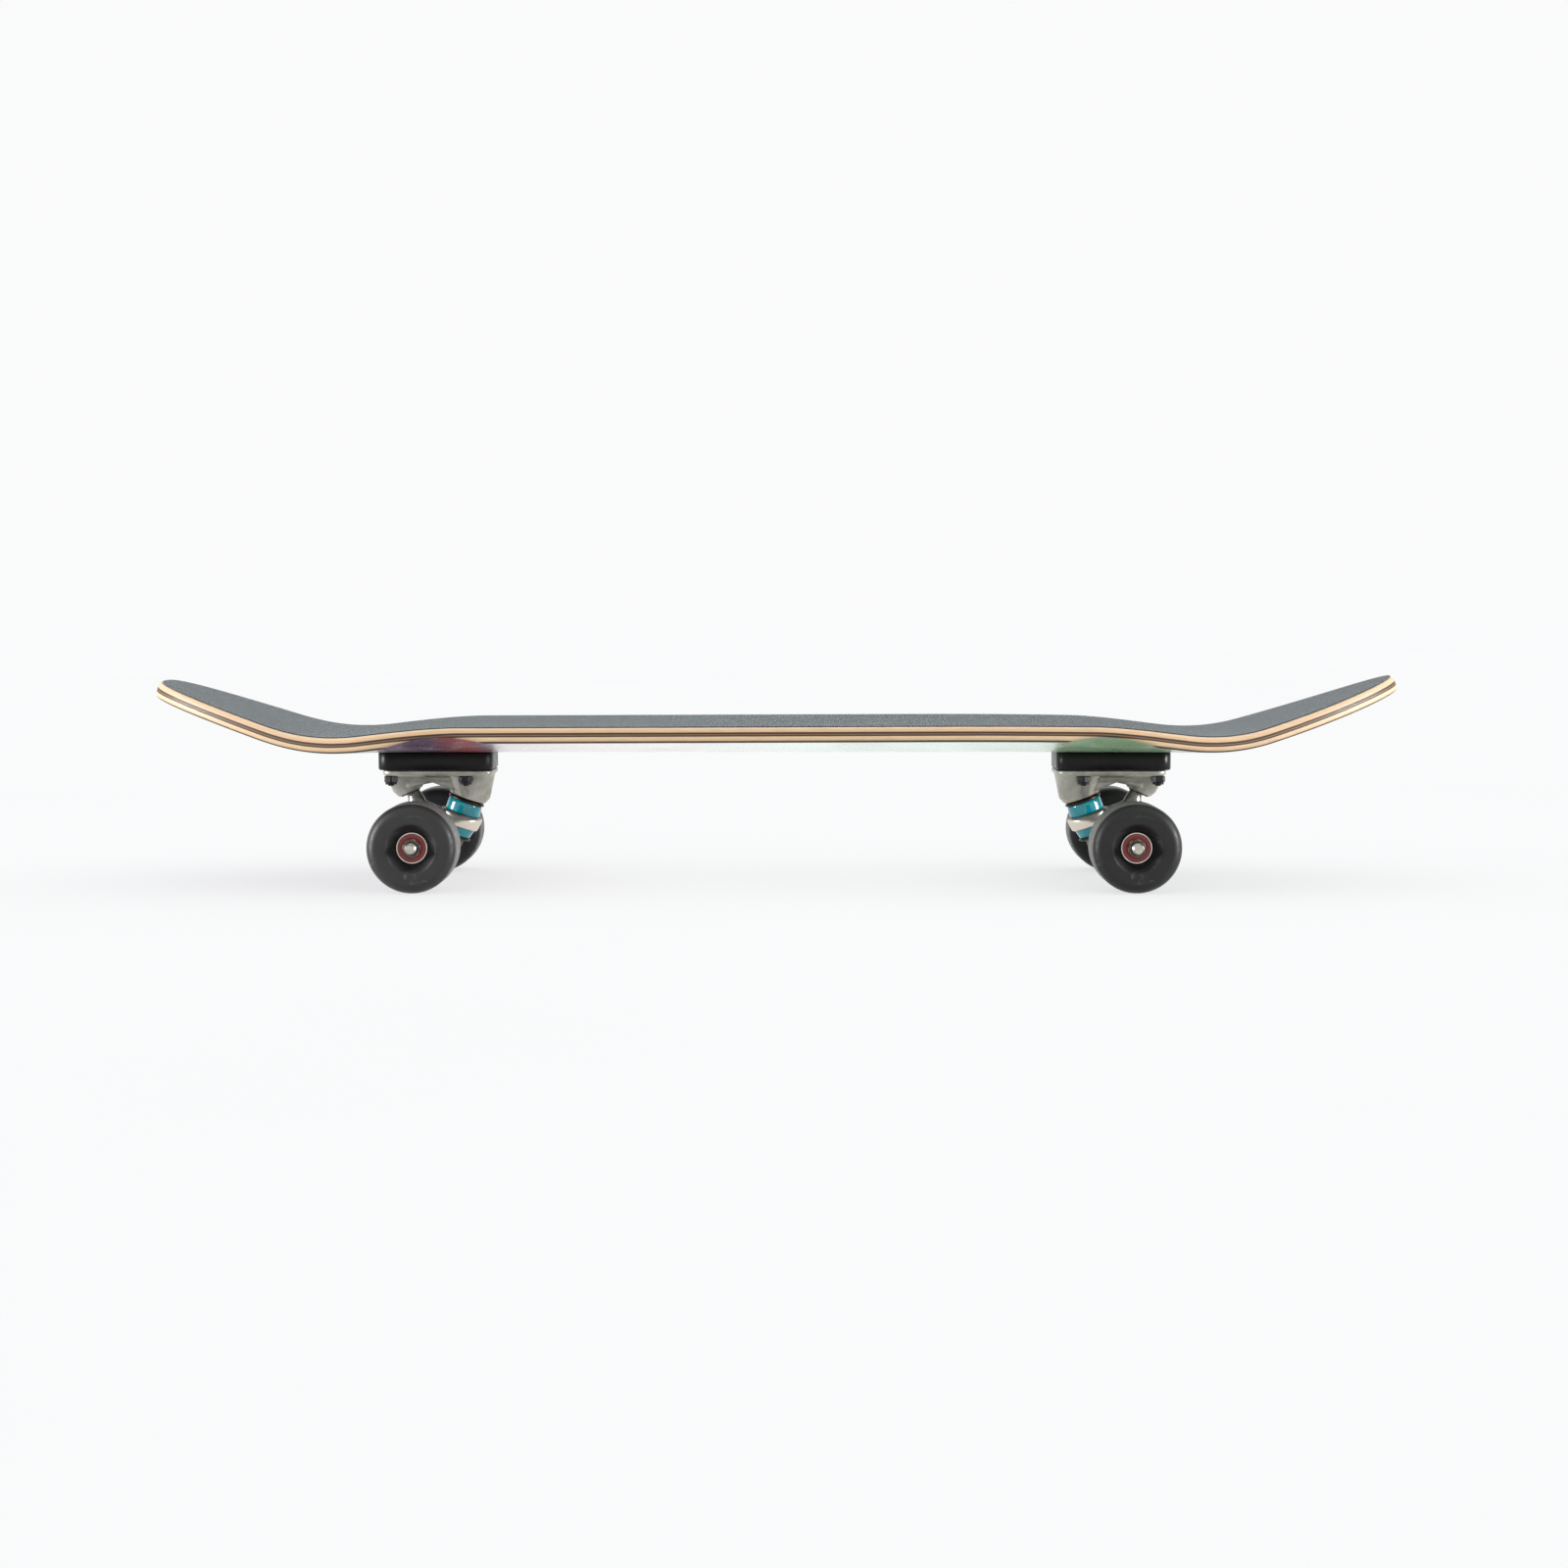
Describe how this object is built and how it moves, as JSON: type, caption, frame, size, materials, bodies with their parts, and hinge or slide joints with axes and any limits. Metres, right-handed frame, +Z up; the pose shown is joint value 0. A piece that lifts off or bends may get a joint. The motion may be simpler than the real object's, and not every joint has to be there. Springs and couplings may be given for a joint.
{
  "type": "skateboard",
  "caption": "Street skateboard: concave double-kick laminated deck with grip tape on riser pads, cast kingpin trucks with urethane bushings, and urethane wheels on ball bearings.",
  "frame": {"origin": "on the floor below the middle of the board, at the bottom centre of its box", "axes": "+X to the nose, +Y to the left of a rider facing the nose, +Z up"},
  "size_m": [0.9019, 0.232, 0.1499],
  "materials": {
    "maple": "bonded maple plies with a dark middle ply, clear edge",
    "grip": "black abrasive sheet",
    "black_rubber": "matt black",
    "cast_alloy": "raw cast, satin",
    "teal_urethane": "glossy translucent teal",
    "bronze_steel": "dark bronze plating",
    "black_oxide": "black oxide",
    "bright_steel": "bright zinc",
    "grey_urethane": "satin dark grey",
    "red_shield": "red shields in steel races",
    "black_nylon": "matt black"
  },
  "bodies": {
    "board": {"deck": "maple", "grip_tape": "grip", "rear_riser_pad": "black_rubber", "rear_baseplate": "cast_alloy", "rear_pivot_cup": "black_nylon", "rear_kingpin": "bronze_steel", "rear_kingpin_nut": "black_oxide", "rear_board_washer": "bronze_steel", "rear_board_bushing": "teal_urethane", "rear_road_bushing": "teal_urethane", "rear_road_washer": "bronze_steel", "rear_mount_bolt_1": "black_oxide", "rear_mount_bolt_2": "black_oxide", "rear_mount_bolt_3": "black_oxide", "rear_mount_bolt_4": "black_oxide", "rear_mount_nut_1": "black_oxide", "rear_mount_nut_2": "black_oxide", "rear_mount_nut_3": "black_oxide", "rear_mount_nut_4": "black_oxide", "front_riser_pad": "black_rubber", "front_baseplate": "cast_alloy", "front_pivot_cup": "black_nylon", "front_kingpin": "bronze_steel", "front_kingpin_nut": "black_oxide", "front_board_washer": "bronze_steel", "front_board_bushing": "teal_urethane", "front_road_bushing": "teal_urethane", "front_road_washer": "bronze_steel", "front_mount_bolt_1": "black_oxide", "front_mount_bolt_2": "black_oxide", "front_mount_bolt_3": "black_oxide", "front_mount_bolt_4": "black_oxide", "front_mount_nut_1": "black_oxide", "front_mount_nut_2": "black_oxide", "front_mount_nut_3": "black_oxide", "front_mount_nut_4": "black_oxide"},
    "rear_truck": {"rear_hanger": "cast_alloy", "rear_axle": "bright_steel", "rear_left_axle_nut": "black_oxide", "rear_left_bearing_spacer": "bright_steel", "rear_right_axle_nut": "black_oxide", "rear_right_bearing_spacer": "bright_steel"},
    "front_truck": {"front_hanger": "cast_alloy", "front_axle": "bright_steel", "front_left_axle_nut": "black_oxide", "front_left_bearing_spacer": "bright_steel", "front_right_axle_nut": "black_oxide", "front_right_bearing_spacer": "bright_steel"},
    "rear_left_roller": {"rear_left_wheel": "grey_urethane", "rear_left_outer_bearing": "red_shield", "rear_left_inner_bearing": "red_shield"},
    "rear_right_roller": {"rear_right_wheel": "grey_urethane", "rear_right_outer_bearing": "red_shield", "rear_right_inner_bearing": "red_shield"},
    "front_left_roller": {"front_left_wheel": "grey_urethane", "front_left_outer_bearing": "red_shield", "front_left_inner_bearing": "red_shield"},
    "front_right_roller": {"front_right_wheel": "grey_urethane", "front_right_outer_bearing": "red_shield", "front_right_inner_bearing": "red_shield"}
  },
  "joints": [
    {"name": "rear_steer", "type": "hinge", "parent": "board", "child": "rear_truck", "pos_m": [-0.2684, 0, 0.0675], "axis": [0.8529, 0, -0.5221], "range_deg": [-20, 20], "stiffness_Nm_per_rad": 60, "deforming": ["rear_board_bushing", "rear_road_bushing"]},
    {"name": "front_steer", "type": "hinge", "parent": "board", "child": "front_truck", "pos_m": [0.2648, 0, 0.0675], "axis": [0.8529, 0, 0.5221], "range_deg": [-20, 20], "stiffness_Nm_per_rad": 60, "deforming": ["front_board_bushing", "front_road_bushing"]},
    {"name": "rear_left_spin", "type": "hinge", "parent": "rear_truck", "child": "rear_left_roller", "pos_m": [-0.2548, 0.09075, 0.0315], "axis": [0, 1, 0], "continuous": true},
    {"name": "rear_right_spin", "type": "hinge", "parent": "rear_truck", "child": "rear_right_roller", "pos_m": [-0.2548, -0.09075, 0.0315], "axis": [0, 1, 0], "continuous": true},
    {"name": "front_left_spin", "type": "hinge", "parent": "front_truck", "child": "front_left_roller", "pos_m": [0.2512, 0.09075, 0.0315], "axis": [0, 1, 0], "continuous": true},
    {"name": "front_right_spin", "type": "hinge", "parent": "front_truck", "child": "front_right_roller", "pos_m": [0.2512, -0.09075, 0.0315], "axis": [0, 1, 0], "continuous": true}
  ]
}
